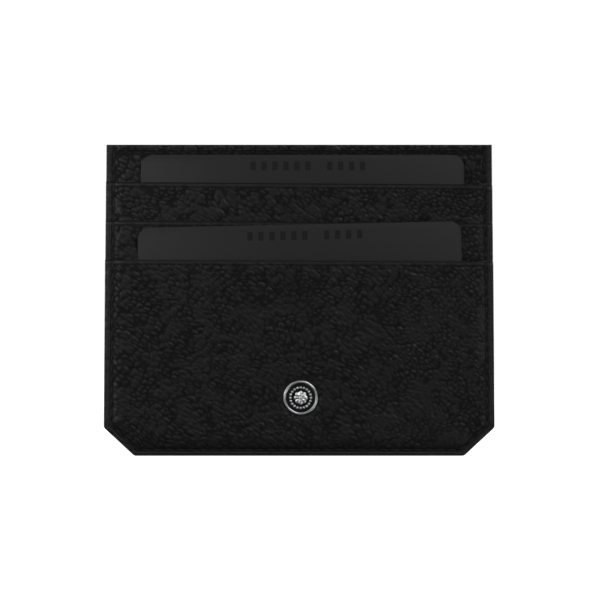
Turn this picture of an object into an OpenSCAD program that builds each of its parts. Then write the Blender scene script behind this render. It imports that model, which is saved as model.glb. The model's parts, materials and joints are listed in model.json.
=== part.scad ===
// Flat leather card holder with cut foot corners.
// Two leather halves are sewn together along the sides and the foot and stay open at the
// mouth, so that they form a note compartment. Each half carries three stepped card slots.
// Millimetres. X runs along the width, Y from the front (-Y) to the rear (+Y), Z is up.
// The origin is the middle of the foot, on which the holder stands.

/* [Outline] */
// Width between the two sides, just above the cut corners
body_w = 103.4; // [98:0.2:126]
// How much narrower the holder is at the mouth than at the foot
side_flare = 1.1; // [0:0.1:4]
// Height from the foot to the mouth
body_h = 82.4; // [80:0.2:110]
// Width of each cut foot corner
corner_w = 8.1; // [5:0.1:12]
// Height of each cut foot corner
corner_h = 7.5; // [5:0.1:9]

/* [Materials by the sheet] */
// Thickness of the outer pocket leather
pocket_t = 0.8; // [0.7:0.05:1.4]
// Thickness of the leather that backs the slots
panel_t = 0.6; // [0.5:0.05:1.2]
// Thickness of the skived leather of the upper and middle pockets
strip_t = 0.5; // [0.5:0.05:0.9]
// Thickness of the textile lining
lining_t = 0.15; // [0.1:0.01:0.19]
// Thickness of the stiffening board
board_t = 0.3; // [0.2:0.05:0.8]
// Thickness of the paint on the cut edges
paint_t = 0.25; // [0.1:0.05:0.6]

/* [Slots] */
// Height of the lower pocket's mouth above the foot
lower_mouth_h = 51.6; // [50:0.1:58]
// Height from one pocket mouth to the next
slot_step = 10.25; // [8:0.05:12]
// Depth of every slot below its own mouth
slot_depth = 46.5; // [40:0.1:47]
// How far a pocket's leather reaches down behind the next pocket
strip_lap = 6; // [5:0.1:10]
// Height over which a pocket's lining is glued behind its leather
lining_lap = 4; // [2:0.1:5]
// Height of the tape that closes a slot at its floor
floor_tape_h = 2; // [1.5:0.1:2.4]
// Gap left in a slot that is pressed flat
empty_gap = 0.06; // [0.02:0.01:0.3]
// Clearance on each face of a card
card_gap = 0.06; // [0.03:0.01:0.3]
// Clearance below a card that stands on its slot floor
card_foot_gap = 0.05; // [0.02:0.01:0.5]
// Gap between the two linings of the note compartment
note_gap = 0.3; // [0.1:0.05:2]
// How far the note compartment's lining stops below the mouth
lining_drop = 1; // [0:0.1:4]

/* [Rim] */
// Width of the filler strips between the layers at the sides
filler_w = 3.4; // [3:0.1:5]
// Gap between neighbouring filler strips
filler_joint = 0.1; // [0.05:0.05:0.4]

/* [Stitching] */
// Distance of the seam from the sides
side_seam_in = 2.1; // [1.5:0.1:2.6]
// Distance of the seam from the foot
foot_seam_in = 1.6; // [1.2:0.1:2.6]
// Distance of the mouth's seam from the top edge
mouth_seam_in = 2.1; // [1.5:0.1:2.3]
// Least distance from one stitch to the next
stitch_pitch = 2.95; // [2:0.05:5]
// Gap between two neighbouring stitches
stitch_gap = 0.65; // [0.3:0.05:1.5]
// Diameter of the sewing thread
thread_d = 0.3; // [0.2:0.02:0.36]
// Depth by which a stitch lies below the leather's face
stitch_sink = 0.05; // [0.02:0.01:0.1]
// Width of the channel in which the stitches lie
channel_w = 0.7; // [0.5:0.05:1]

/* [Badge] */
// Diameter of the badge
badge_d = 9; // [8:0.1:12]
// Height of the badge's middle above the foot
badge_h = 15.4; // [12:0.1:30]
// Sideways place of the badge
badge_x = 0.4; // [-5:0.1:5]
// How far the badge's bezel stands out of the leather
badge_proud = 0.6; // [0.5:0.05:1.2]
// Width of the bezel
bezel_w = 0.6; // [0.4:0.05:0.9]
// Thickness of the sunk ground inside the bezel
ground_t = 0.15; // [0.1:0.01:0.25]
// Number of beads in the ring around the rosette
bead_count = 24; // [12:1:28]
// Diameter of one bead
bead_d = 0.5; // [0.3:0.02:0.56]
// Radius of the ring of beads
bead_ring_r = 2.85; // [2.5:0.05:3]
// Radius of the rosette
rosette_r = 1.9; // [1.4:0.05:2]
// Number of petals of the rosette
petal_count = 8; // [5:1:12]
// Height of the rosette above the ground
rosette_t = 0.3; // [0.2:0.02:0.4]
// Diameter of the plate behind the leather that the prongs clench
backing_d = 7; // [6:0.1:9]
// Thickness of that plate
backing_t = 0.15; // [0.1:0.01:0.2]
// Width of a prong
prong_w = 1.2; // [0.8:0.1:2]
// Thickness of a prong
prong_t = 0.15; // [0.1:0.01:0.2]
// Distance of each prong from the badge's middle
prong_r = 1.6; // [1:0.1:2]

/* [Dummy cards] */
// Width of a card
card_w = 85.6; // [70:0.1:90]
// Height of a card
card_h = 53.98; // [48:0.01:60]
// Thickness of a card
card_t = 0.76; // [0.5:0.01:1]
// Corner radius of a card
card_r = 3.18; // [1:0.01:6]
// Sideways place of the upper card
upper_card_x = 0.9; // [-2:0.1:2]
// Sideways place of the lower card
lower_card_x = 0.6; // [-2:0.1:2]
// Height of the middle of the lower card's bottom edge above its slot floor
lower_card_lift = 2.1; // [2:0.1:5]
// Slant of the lower card in its slot, in degrees
lower_card_tilt = 1.2; // [-1.2:0.1:1.2]

/* [Hidden] */
$fn = 96;
// Length by which a cutting tool reaches past what it cuts
over = 1;
leather_colour = "#1f1f20";
lining_colour = "#2a2a2d";
board_colour = "#4a4038";
filler_colour = "#2b2624";
tape_colour = "#5a5a58";
paint_colour = "#151515";
thread_colour = "#0f0f10";
badge_colour = "#c9cacc";
ground_colour = "#6d6e70";
card_colour = "#3b3b3d";

// Mouth heights of the three pockets, and the slot floors below them
middle_mouth_h = lower_mouth_h + slot_step;
upper_mouth_h = middle_mouth_h + slot_step;
lower_floor_h = lower_mouth_h - slot_depth;
middle_floor_h = middle_mouth_h - slot_depth;
upper_floor_h = upper_mouth_h - slot_depth;
// Lower edges of the upper and middle pockets' leather
upper_strip_foot = middle_mouth_h - strip_lap;
middle_strip_foot = lower_mouth_h - strip_lap;

// Thickness of a slot that holds a card
card_slot = card_t + 2 * card_gap;

// Each layer starts at a distance from the middle plane of the note compartment. The
// argument is the thickness of the upper and lower slots on that side of the holder.
lining_at = note_gap / 2;
board_at = lining_at + lining_t;
panel_at = board_at + board_t;
upper_slot_at = panel_at + panel_t;
function upper_at(slot) = upper_slot_at + slot;
function middle_at(slot) = upper_at(slot) + strip_t + empty_gap;
function lower_slot_at(slot) = middle_at(slot) + strip_t;
function lower_at(slot) = lower_slot_at(slot) + slot;
function face_at(slot) = lower_at(slot) + pocket_t;

front_depth = face_at(card_slot) + badge_proud;
rear_depth = face_at(empty_gap);
// The middle plane lies off the origin, so that the holder's whole depth is centred on it
mid_y = (front_depth - rear_depth) / 2;

channel_depth = thread_d + stitch_sink;
ground_r = badge_d / 2 - bezel_w;
// How far the clenched prongs lie below the leather's rear face
clench_sink = 0.02;
// Room behind the leather for the backing plate and the clenched prongs
backing_room = backing_t + prong_t + clench_sink;
// Length of a prong's clenched end
clench_l = 0.9;

// ---- Outlines, drawn with X across and Y standing for the height ----

// Half the width of the holder at a height
function half_w(h) = body_w / 2 - side_flare / 2 * (h - corner_h) / (body_h - corner_h);

// Right half of the outline, moved in from the sides and the foot
function right_side(side_in, foot_in, top) =
    let (slope = norm([corner_w, corner_h]))
    let (corner_in = (side_in + foot_in) / 2 * slope + corner_w * corner_h)
    let (corner_z = (corner_in - corner_h * side_in) / corner_w)
    [
        [body_w / 2 - (corner_in - corner_w * foot_in) / corner_h, foot_in],
        [half_w(corner_z) - side_in, corner_z],
        [half_w(top) - side_in, top]
    ];

function mirrored(points) = [for (i = [len(points) - 1 : -1 : 0]) [-points[i][0], points[i][1]]];

module outline(side_in, foot_in, top) {
    right = right_side(side_in, foot_in, top);
    polygon(concat(right, mirrored(right)));
}

// The leather's outline up to a height: it stops short of the sides by the edge paint
module leather_outline(top) {
    outline(paint_t, paint_t, top);
}

// A band of the leather's outline between two heights
module leather_band(low, high) {
    intersection() {
        leather_outline(high);
        translate([-body_w, low]) square([2 * body_w, high - low]);
    }
}

// The strips that run along both sides, the cut corners and the foot, each one apart
module rim_strips(width, foot_width, top) {
    inner = right_side(width, foot_width, top);
    foot_x = inner[0][0];
    side_h = inner[1][1];
    difference() {
        leather_outline(top);
        outline(width, foot_width, top + over);
        for (side = [-1, 1]) {
            translate([side * foot_x - filler_joint / 2, -over])
                square([filler_joint, foot_width + 2 * over]);
            translate([side * (body_w - width) / 2 - width / 2 - over, side_h])
                square([width + 2 * over, filler_joint]);
        }
    }
}

// The stitching channel along the sides, the cut corners and the foot
module seam_channel() {
    half = channel_w / 2;
    difference() {
        outline(side_seam_in - half, foot_seam_in - half, body_h + over);
        outline(side_seam_in + half, foot_seam_in + half, body_h + 2 * over);
    }
}

// The stitching channel below the mouth, from side seam to side seam
module mouth_channel() {
    h = body_h - mouth_seam_in;
    reach = half_w(h) - side_seam_in;
    translate([-reach, h - channel_w / 2]) square([2 * reach, channel_w]);
}

// ---- Layers ----

// Extrudes an outline as a layer on one side of the middle plane
module layer(side, from, thickness) {
    start = side == "front" ? -from : from + thickness;
    translate([0, mid_y + start, 0]) rotate([90, 0, 0]) linear_extrude(thickness) children();
}

// Slot thickness on a side: cards are only carried in front
function slot_on(side) = side == "front" ? card_slot : empty_gap;

// Leather between two distances from the middle plane, with the seam's channel in its face
module sewn_leather(side, from, thickness) {
    difference() {
        layer(side, from, thickness) children();
        layer(side, from + thickness - channel_depth, channel_depth + over) seam_channel();
    }
}

module panel(side) {
    difference() {
        sewn_leather(side, panel_at, panel_t) leather_outline(body_h);
        layer(side, upper_slot_at - channel_depth, channel_depth + over) mouth_channel();
    }
}

module stiffener(side) {
    layer(side, board_at, board_t) outline(filler_w, filler_w, body_h - lining_drop);
}

module note_lining(side) {
    layer(side, lining_at, lining_t) leather_outline(body_h - lining_drop);
    // turned-in hem that fills the stiffener's thickness along the rim
    layer(side, board_at, board_t) rim_strips(filler_w, filler_w, body_h - lining_drop);
}

// Leather of the upper or middle pocket, skived at its lower edge for the lining
module strip_pocket(side, from, foot, mouth) {
    difference() {
        sewn_leather(side, from, strip_t) leather_band(foot, mouth);
        layer(side, from - over, lining_t + over)
            translate([-body_w, foot - over]) square([2 * body_w, lining_lap + over]);
    }
}

// Lining between the filler strips, from its slot floor up to the pocket's leather
module pocket_lining(side, from, floor_h, strip_foot) {
    low = floor_h - floor_tape_h;
    high = strip_foot + lining_lap;
    reach = half_w(high) - filler_w;
    layer(side, from, lining_t) translate([-reach, low]) square([2 * reach, high - low]);
}

// Tape between the panel and a pocket's lining, on which a card stands
module slot_floor(side, thickness, floor_h) {
    reach = half_w(floor_h) - filler_w;
    layer(side, upper_slot_at, thickness)
        translate([-reach, floor_h - floor_tape_h]) square([2 * reach, floor_tape_h]);
}

module lower_pocket(side) {
    sewn_leather(side, lower_at(slot_on(side)), pocket_t) leather_outline(lower_mouth_h);
}

// Filler strips that level the stack of layers under the seam
module edge_filler(side) {
    slot = slot_on(side);
    layer(side, upper_slot_at, slot)
        rim_strips(filler_w, lower_floor_h, upper_mouth_h);
    layer(side, upper_at(slot), strip_t)
        rim_strips(filler_w, lower_floor_h, upper_strip_foot);
    layer(side, upper_at(slot) + strip_t, empty_gap + strip_t)
        rim_strips(filler_w, lower_floor_h, middle_strip_foot);
    layer(side, lower_slot_at(slot), slot)
        rim_strips(filler_w, lower_floor_h, lower_mouth_h);
}

// ---- Stitching ----

// A row of straight stitches between two points, centred at a distance from the middle plane
module stitch_row(side, a, b, at, thread) {
    run = norm(b - a);
    count = max(1, floor(run / stitch_pitch));
    angle = atan2(b[1] - a[1], b[0] - a[0]);
    y = mid_y + (side == "front" ? -at : at);
    for (i = [0 : count - 1]) {
        place = a + (b - a) * (i + 0.5) / count;
        translate([place[0], y, place[1]]) rotate([0, 90 - angle, 0])
            cylinder(h = run / count - stitch_gap, d = thread, center = true);
    }
}

// Each stretch of a side seam lies on the pocket that is outermost there
module perimeter_stitching(side) {
    slot = slot_on(side);
    corner = right_side(side_seam_in, foot_seam_in, body_h);
    sunk = stitch_sink + thread_d / 2;
    low_face = face_at(slot) - sunk;
    stretches = [
        [corner[1][1], lower_mouth_h, low_face],
        [lower_mouth_h, middle_mouth_h, lower_slot_at(slot) - sunk],
        [middle_mouth_h, upper_mouth_h, upper_at(slot) + strip_t - sunk],
        [upper_mouth_h, body_h, upper_slot_at - sunk]
    ];
    for (hand = [-1, 1]) {
        for (s = stretches) {
            stitch_row(side, [hand * (half_w(s[0]) - side_seam_in), s[0]],
                [hand * (half_w(s[1]) - side_seam_in), s[1]], s[2], thread_d);
        }
        stitch_row(side, [hand * corner[0][0], corner[0][1]],
            [hand * corner[1][0], corner[1][1]], low_face, thread_d);
    }
    stitch_row(side, [-corner[0][0], foot_seam_in], [corner[0][0], foot_seam_in],
        low_face, thread_d);
}

module mouth_stitching(side) {
    h = body_h - mouth_seam_in;
    reach = half_w(h) - side_seam_in - stitch_pitch / 2;
    stitch_row(side, [-reach, h], [reach, h], upper_slot_at - stitch_sink - thread_d / 2,
        thread_d);
}

// Rows that hold the linings down on their floor tapes
module slot_floor_stitching(side) {
    slot = slot_on(side);
    thread = (strip_t - lining_t) * 0.8;
    for (row = [[upper_floor_h, upper_at(slot)], [middle_floor_h, middle_at(slot)]]) {
        h = row[0] - floor_tape_h / 2;
        reach = half_w(h) - filler_w - stitch_pitch / 2;
        stitch_row(side, [-reach, h], [reach, h], row[1] + lining_t + thread / 2, thread);
    }
}

// ---- Badge ----

// Places a badge part with its own Z pointing out of the leather's face
module on_badge_face(height) {
    face_y = mid_y - face_at(card_slot);
    translate([badge_x, face_y - height, badge_h]) rotate([90, 0, 0]) children();
}

module prong_slots(depth) {
    for (side = [-1, 1]) {
        translate([side * prong_r - prong_t / 2, -prong_w / 2, 0])
            cube([prong_t, prong_w, depth]);
    }
}

// ---- Sub-parts ----

module front_panel() {
    color(leather_colour) panel("front");
}

module front_stiffener() {
    color(board_colour) stiffener("front");
}

module front_lining() {
    color(lining_colour) note_lining("front");
}

module front_upper_pocket() {
    color(leather_colour)
        strip_pocket("front", upper_at(card_slot), upper_strip_foot, upper_mouth_h);
}

module front_upper_pocket_lining() {
    color(lining_colour)
        pocket_lining("front", upper_at(card_slot), upper_floor_h, upper_strip_foot);
}

module front_upper_slot_floor() {
    color(tape_colour) slot_floor("front", card_slot, upper_floor_h);
}

module front_middle_pocket() {
    color(leather_colour)
        strip_pocket("front", middle_at(card_slot), middle_strip_foot, middle_mouth_h);
}

module front_middle_pocket_lining() {
    color(lining_colour)
        pocket_lining("front", middle_at(card_slot), middle_floor_h, middle_strip_foot);
}

module front_middle_slot_floor() {
    color(tape_colour)
        slot_floor("front", middle_at(card_slot) - upper_slot_at, middle_floor_h);
}

module front_lower_pocket() {
    color(leather_colour) difference() {
        lower_pocket("front");
        on_badge_face(-pocket_t - over) cylinder(h = backing_room + over, d = backing_d);
        on_badge_face(-pocket_t) prong_slots(pocket_t + over);
    }
}

module front_edge_filler() {
    color(filler_colour) edge_filler("front");
}

module front_perimeter_stitching() {
    color(thread_colour) perimeter_stitching("front");
}

module front_mouth_stitching() {
    color(thread_colour) mouth_stitching("front");
}

module front_slot_floor_stitching() {
    color(thread_colour) slot_floor_stitching("front");
}

module rear_panel() {
    color(leather_colour) panel("rear");
}

module rear_stiffener() {
    color(board_colour) stiffener("rear");
}

module rear_lining() {
    color(lining_colour) note_lining("rear");
}

module rear_upper_pocket() {
    color(leather_colour)
        strip_pocket("rear", upper_at(empty_gap), upper_strip_foot, upper_mouth_h);
}

module rear_upper_pocket_lining() {
    color(lining_colour)
        pocket_lining("rear", upper_at(empty_gap), upper_floor_h, upper_strip_foot);
}

module rear_upper_slot_floor() {
    color(tape_colour) slot_floor("rear", empty_gap, upper_floor_h);
}

module rear_middle_pocket() {
    color(leather_colour)
        strip_pocket("rear", middle_at(empty_gap), middle_strip_foot, middle_mouth_h);
}

module rear_middle_pocket_lining() {
    color(lining_colour)
        pocket_lining("rear", middle_at(empty_gap), middle_floor_h, middle_strip_foot);
}

module rear_middle_slot_floor() {
    color(tape_colour)
        slot_floor("rear", middle_at(empty_gap) - upper_slot_at, middle_floor_h);
}

module rear_lower_pocket() {
    color(leather_colour) lower_pocket("rear");
}

module rear_edge_filler() {
    color(filler_colour) edge_filler("rear");
}

module rear_perimeter_stitching() {
    color(thread_colour) perimeter_stitching("rear");
}

module rear_mouth_stitching() {
    color(thread_colour) mouth_stitching("rear");
}

module rear_slot_floor_stitching() {
    color(thread_colour) slot_floor_stitching("rear");
}

// Tape that joins the two halves under the seam and closes the note compartment
module seam_tape() {
    color(tape_colour) translate([0, mid_y + note_gap / 2, 0]) rotate([90, 0, 0])
        linear_extrude(note_gap) rim_strips(filler_w, filler_w, body_h - lining_drop);
}

// Paint on the cut edges of all layers, as deep as the stack is at each height
module edge_paint() {
    zones = [
        [lower_mouth_h, face_at(card_slot), face_at(empty_gap)],
        [middle_mouth_h, lower_slot_at(card_slot), lower_slot_at(empty_gap)],
        [upper_mouth_h, upper_at(card_slot) + strip_t, upper_at(empty_gap) + strip_t],
        [body_h, upper_slot_at, upper_slot_at]
    ];
    color(paint_colour) for (zone = zones) {
        translate([0, mid_y + zone[2], 0]) rotate([90, 0, 0])
            linear_extrude(zone[1] + zone[2]) difference() {
                outline(0, 0, zone[0]);
                outline(paint_t, paint_t, zone[0] + over);
            }
    }
}

// Bright ring with a floor, pressed into one dish whose prongs go through the leather
module badge_bezel() {
    color(badge_colour) {
        on_badge_face(0) rotate_extrude() polygon([
            [0, 0],
            [badge_d / 2, 0],
            [badge_d / 2, badge_proud * 0.6],
            [badge_d / 2 - bezel_w * 0.3, badge_proud],
            [badge_d / 2 - bezel_w * 0.7, badge_proud],
            [ground_r, badge_proud * 0.7],
            [ground_r, ground_t],
            [0, ground_t]
        ]);
        on_badge_face(-pocket_t + backing_room - backing_t - prong_t)
            prong_slots(pocket_t - backing_room + backing_t + prong_t);
        for (side = [-1, 1]) {
            on_badge_face(-pocket_t + backing_room - backing_t - prong_t)
                translate([side * (prong_r + clench_l / 2) - clench_l / 2, -prong_w / 2, 0])
                    cube([clench_l, prong_w, prong_t]);
        }
    }
}

// Darkened disc inside the bezel
module badge_ground() {
    color(ground_colour) on_badge_face(ground_t) cylinder(h = ground_t, r = ground_r);
}

// Ring of half-round beads on the ground
module badge_bead_ring() {
    color(badge_colour) on_badge_face(2 * ground_t) for (i = [0 : bead_count - 1]) {
        rotate([0, 0, i * 360 / bead_count]) translate([bead_ring_r, 0, 0])
            intersection() {
                sphere(d = bead_d);
                translate([-bead_d, -bead_d, 0]) cube(2 * bead_d);
            }
    }
}

// Rosette of pointed petals around a round boss
module badge_rosette() {
    petal_gap = rosette_r * 0.32;
    petal_r = (rosette_r * rosette_r / 4 + petal_gap * petal_gap) / (2 * petal_gap);
    boss_r = rosette_r * 0.3;
    color(badge_colour) on_badge_face(2 * ground_t) linear_extrude(rosette_t) union() {
        for (i = [0 : petal_count - 1]) {
            rotate(i * 360 / petal_count) intersection() {
                translate([rosette_r / 2, petal_r - petal_gap]) circle(petal_r);
                translate([rosette_r / 2, petal_gap - petal_r]) circle(petal_r);
            }
        }
        circle(boss_r);
    }
}

// Thin plate behind the leather, clenched by the two prongs
module badge_backing_plate() {
    color(badge_colour) difference() {
        on_badge_face(-pocket_t + backing_room - backing_t) cylinder(h = backing_t, d = backing_d);
        on_badge_face(-pocket_t) prong_slots(pocket_t);
    }
}

// ---- Dummy cards ----

module card_outline() {
    hull_w = card_w / 2 - card_r;
    hull_h = card_h / 2 - card_r;
    square([card_w - 2 * card_r, card_h], center = true);
    square([card_w, card_h - 2 * card_r], center = true);
    for (x = [-hull_w, hull_w], y = [-hull_h, hull_h]) translate([x, y]) circle(card_r);
}

module upper_card() {
    color(card_colour) layer("front", upper_slot_at + card_gap, card_t)
        translate([upper_card_x, upper_floor_h + card_foot_gap + card_h / 2]) card_outline();
}

module lower_card() {
    color(card_colour) layer("front", lower_slot_at(card_slot) + card_gap, card_t)
        translate([lower_card_x, lower_floor_h + lower_card_lift + card_h / 2])
            rotate(lower_card_tilt) card_outline();
}

front_panel();
front_stiffener();
front_lining();
front_upper_pocket();
front_upper_pocket_lining();
front_upper_slot_floor();
front_middle_pocket();
front_middle_pocket_lining();
front_middle_slot_floor();
front_lower_pocket();
front_edge_filler();
front_perimeter_stitching();
front_mouth_stitching();
front_slot_floor_stitching();
rear_panel();
rear_stiffener();
rear_lining();
rear_upper_pocket();
rear_upper_pocket_lining();
rear_upper_slot_floor();
rear_middle_pocket();
rear_middle_pocket_lining();
rear_middle_slot_floor();
rear_lower_pocket();
rear_edge_filler();
rear_perimeter_stitching();
rear_mouth_stitching();
rear_slot_floor_stitching();
seam_tape();
edge_paint();
badge_bezel();
badge_ground();
badge_bead_ring();
badge_rosette();
badge_backing_plate();
upper_card();
lower_card();
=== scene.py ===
"""Flat leather card holder with stepped card slots, a round metal badge and two dummy cards.

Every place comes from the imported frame. Inside this script lengths are in millimetres, with
X across, Z up and the depth counted outwards from the middle of the note compartment; they
turn into metres when a mesh is made.
"""

import json
import math
from types import SimpleNamespace

import bmesh
import bpy
import numpy as np
from bpy.props import FloatProperty, FloatVectorProperty, IntProperty, PointerProperty
from mathutils import Matrix, Vector


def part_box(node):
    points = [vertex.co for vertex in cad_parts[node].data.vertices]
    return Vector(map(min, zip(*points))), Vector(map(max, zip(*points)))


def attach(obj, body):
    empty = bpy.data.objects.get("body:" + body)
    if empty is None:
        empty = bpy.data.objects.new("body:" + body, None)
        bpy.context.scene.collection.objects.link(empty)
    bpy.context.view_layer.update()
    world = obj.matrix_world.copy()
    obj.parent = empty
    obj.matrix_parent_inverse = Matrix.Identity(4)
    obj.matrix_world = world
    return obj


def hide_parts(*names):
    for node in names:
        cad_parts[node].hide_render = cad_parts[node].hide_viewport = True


bl_info = {
    "name": "Leather card holder",
    "version": (1, 0, 0),
    "blender": (4, 5, 0),
    "location": "3D View > Sidebar > Card Holder",
    "description": "Builds a leather card holder around its packed frame",
    "category": "Add Mesh",
}

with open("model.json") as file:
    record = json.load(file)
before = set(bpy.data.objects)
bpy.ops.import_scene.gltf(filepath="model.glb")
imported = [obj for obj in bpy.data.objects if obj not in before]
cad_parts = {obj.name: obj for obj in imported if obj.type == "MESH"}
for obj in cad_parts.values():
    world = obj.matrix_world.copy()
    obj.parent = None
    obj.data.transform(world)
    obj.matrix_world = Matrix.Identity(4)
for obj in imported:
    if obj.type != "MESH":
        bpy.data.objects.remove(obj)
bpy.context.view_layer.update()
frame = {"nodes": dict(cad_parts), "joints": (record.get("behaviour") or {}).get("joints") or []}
MM = 0.001
BODY = "holder"


def box_mm(node_name):
    """Lowest and highest corner of a CAD node, in millimetres."""
    low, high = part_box(node_name)
    return np.array(low) / MM, np.array(high) / MM


# ---- Sizes read from the frame ----

RIM = np.array([v.co for v in frame["nodes"]["edge_paint"].data.vertices]) / MM
HEIGHT = RIM[:, 2].max()
HALF_W = np.abs(RIM[:, 0]).max()
CORNER_H = RIM[np.abs(RIM[:, 0]) > HALF_W - 0.01, 2].min()
CORNER_W = HALF_W - np.abs(RIM[RIM[:, 2] < 0.01, 0]).max()
HALF_MOUTH = np.abs(RIM[RIM[:, 2] > HEIGHT - 0.01, 0]).max()
MID_Y = (box_mm("front_lining")[1][1] + box_mm("rear_lining")[0][1]) / 2
FRONT, REAR = -1, 1
SIDES = {"front": FRONT, "rear": REAR}


def depths(node_name):
    """Inner and outer depth of a CAD layer, counted from the middle of the note compartment."""
    low, high = box_mm(node_name)
    ends = sorted((abs(low[1] - MID_Y), abs(high[1] - MID_Y)))
    return ends[0], ends[1]


def mouth(node_name):
    """Height of a layer's upper edge."""
    return box_mm(node_name)[1][2]


# ---- What a user may change ----

def length(name, text, value, low, high):
    """A length property, given here in millimetres and kept in metres."""
    return FloatProperty(name=name, description=text, default=value * MM, min=low * MM,
                         max=high * MM, unit="LENGTH", subtype="DISTANCE", precision=5)


def in_mm(group):
    """The values of a property group, its lengths in millimetres."""
    kinds = group.bl_rna.properties
    return SimpleNamespace(**{
        key: getattr(group, key) / (MM if kinds[key].unit == "LENGTH" else 1)
        for key in group.__annotations__})


def linear(hex_colour):
    """An sRGB hex colour as linear values."""
    parts = [int(hex_colour[i:i + 2], 16) / 255 for i in (1, 3, 5)]
    return tuple(c / 12.92 if c <= 0.04045 else ((c + 0.055) / 1.055) ** 2.4 for c in parts)


def colour(name, text, hex_colour):
    """A colour property, given here as an sRGB hex value."""
    return FloatVectorProperty(name=name, description=text, subtype="COLOR", size=3,
                               default=linear(hex_colour), min=0, max=1)


class HolderSizes(bpy.types.PropertyGroup):
    """Sizes of the leather work."""

    rim_pinch: FloatProperty(name="Rim pinch", subtype="FACTOR", default=0.17, min=0, max=0.4,
                             description="Share of the depth that the seam presses out at the rim")
    rim_reach: length("Rim reach", "Distance from the rim over which the pressing fades",
                      5.0, 2, 6)
    side_seam: length("Side seam", "Distance of the seam from the sides", 2.1, 1.5, 3)
    foot_seam: length("Foot seam", "Distance of the seam from the foot", 1.6, 1.2, 3)
    mouth_seam: length("Mouth seam", "Distance of the seam from the panel's mouth", 2.1, 1.5, 3)
    groove_depth: length("Seam groove", "Depth to which the thread pulls the leather in",
                         0.24, 0, 0.5)
    groove_width: length("Seam groove width", "Half width of the pulled-in groove", 0.54, 0.2, 1)
    crease_in: length("Creased line", "Distance of the creased line from a mouth", 1.15, 0.6, 2)
    crease_depth: length("Creased line depth", "Depth of the creased line", 0.15, 0, 0.3)
    grain_length: length("Pebble length", "Length of a grain pebble along the hide", 2.0, 0.5, 3)
    grain_width: length("Pebble width", "Width of a grain pebble across the hide", 1.08, 0.4, 3)
    grain_depth: length("Pebble depth", "Depth of the valleys between pebbles", 0.2, 0, 0.3)
    fold_depth: length("Hide fold depth", "Depth of the long creases in the hide", 0.13, 0, 0.2)
    wave_depth: length("Hide waves", "Height of the slow waves in the leather", 0.1, 0, 0.3)
    mesh_step: length("Leather mesh step", "Distance between points of the leather mesh",
                      0.272, 0.25, 2)
    stitch_pitch: length("Stitch pitch", "Distance between two stitches", 2.95, 1.5, 5)
    stitch_gap: length("Stitch gap", "Leather between two stitches", 0.65, 0.2, 1.5)
    thread: length("Thread", "Diameter of the thread", 0.5, 0.2, 0.9)
    rim_radius: length("Outline corners", "Radius that softens the outline's corners", 1.3, 0.5, 3)
    paint_cover: length("Edge paint cover", "How far the paint runs onto the leather",
                        1.05, 0.3, 1.2)


class BadgeSizes(bpy.types.PropertyGroup):
    """Sizes of the badge."""

    bezel: length("Bezel width", "Width of the bright outer ring", 0.57, 0.3, 1)
    beads: IntProperty(name="Beads", description="Beads in the ring", default=20, min=12, max=36)
    petals: IntProperty(name="Petals", description="Petals of the rosette", default=8, min=5,
                        max=12)


class HolderColours(bpy.types.PropertyGroup):
    """Colours of the finishes."""

    leather: colour("Leather", "Tops of the grain", "#1C1C1D")
    # Painted shade laid into grain valleys, hide folds, seam grooves, creased lines and along the
    # mouths
    valley: colour("Grain valleys", "Leather between the pebbles", "#030303")
    rim: colour("Edge paint", "Paint on the cut edges", "#1B1B1C")
    thread: colour("Thread", "Bonded thread", "#070708")
    twill: colour("Lining", "Twill of the linings", "#1D1D1F")
    board: colour("Stiffener", "Bonded leather board", "#3B2F28")
    raw: colour("Raw leather", "Skived leather in the rim", "#2A211D")
    tape: colour("Tape", "Woven bonding tape", "#3A3A38")
    metal: colour("Badge metal", "Plated badge", "#FCFCFD")
    ground: colour("Badge ground", "Darkened ground of the badge", "#303033")
    card: colour("Dummy card", "Printed card", "#202021")
    ink: colour("Card print", "Blocks printed on the cards", "#171718")
    paper: colour("Studio paper", "Floor and backdrop", "#FAFAFA")


# ---- Outline and rim ----

# Faces round each softened corner, whether of the outline or of a layer's mouth
CORNER_STEPS = 6
# Width over which the pressings from two edges blend where they meet at a corner
RIM_BLEND = 0.6
# Beyond this distance an edge has no say in the pressing
FAR_FROM_RIM = 40


def straight_half(z):
    """Half the width between the straight sides."""
    return HALF_W - (HALF_W - HALF_MOUTH) * (z - CORNER_H) / (HEIGHT - CORNER_H)


def outline(side_in, foot_in, radius):
    """Right half of the outline from the foot's middle to the top, softened at its corners."""
    slope = math.hypot(CORNER_W, CORNER_H)
    inwards = (side_in + foot_in) / 2 * slope + CORNER_W * CORNER_H
    corner_z = (inwards - CORNER_H * side_in) / CORNER_W
    points = np.array([
        (0.0, foot_in),
        (HALF_W - (inwards - CORNER_W * foot_in) / CORNER_H, foot_in),
        (straight_half(corner_z) - side_in, corner_z),
        (straight_half(HEIGHT) - side_in, HEIGHT),
    ])
    path = [points[0]]
    for before, corner, after in zip(points, points[1:], points[2:]):
        into, out = corner - before, after - corner
        into, out = into / np.linalg.norm(into), out / np.linalg.norm(out)
        turn = math.acos(float(np.clip(into @ out, -1, 1)))
        reach = radius * math.tan(turn / 2)
        start = corner - into * reach
        inward = np.array([-into[1], into[0]])
        for step in range(CORNER_STEPS + 1):
            angle = turn * step / CORNER_STEPS
            path.append(start + radius * (math.sin(angle) * into + (1 - math.cos(angle)) * inward))
    path.append(points[-1])
    return np.array(path)


def rim_gaps(x, z):
    """Distance to the sides, to the cut corners and to the foot."""
    side = straight_half(z) - np.abs(x)
    slope = math.hypot(CORNER_W, CORNER_H)
    cut = (CORNER_H * (HALF_W - np.abs(x)) + CORNER_W * z - CORNER_W * CORNER_H) / slope
    return side, cut, z


def smoothstep(t):
    """Runs from 0 to 1 with soft ends."""
    t = np.clip(t, 0, 1)
    return t * t * (3 - 2 * t)


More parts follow.
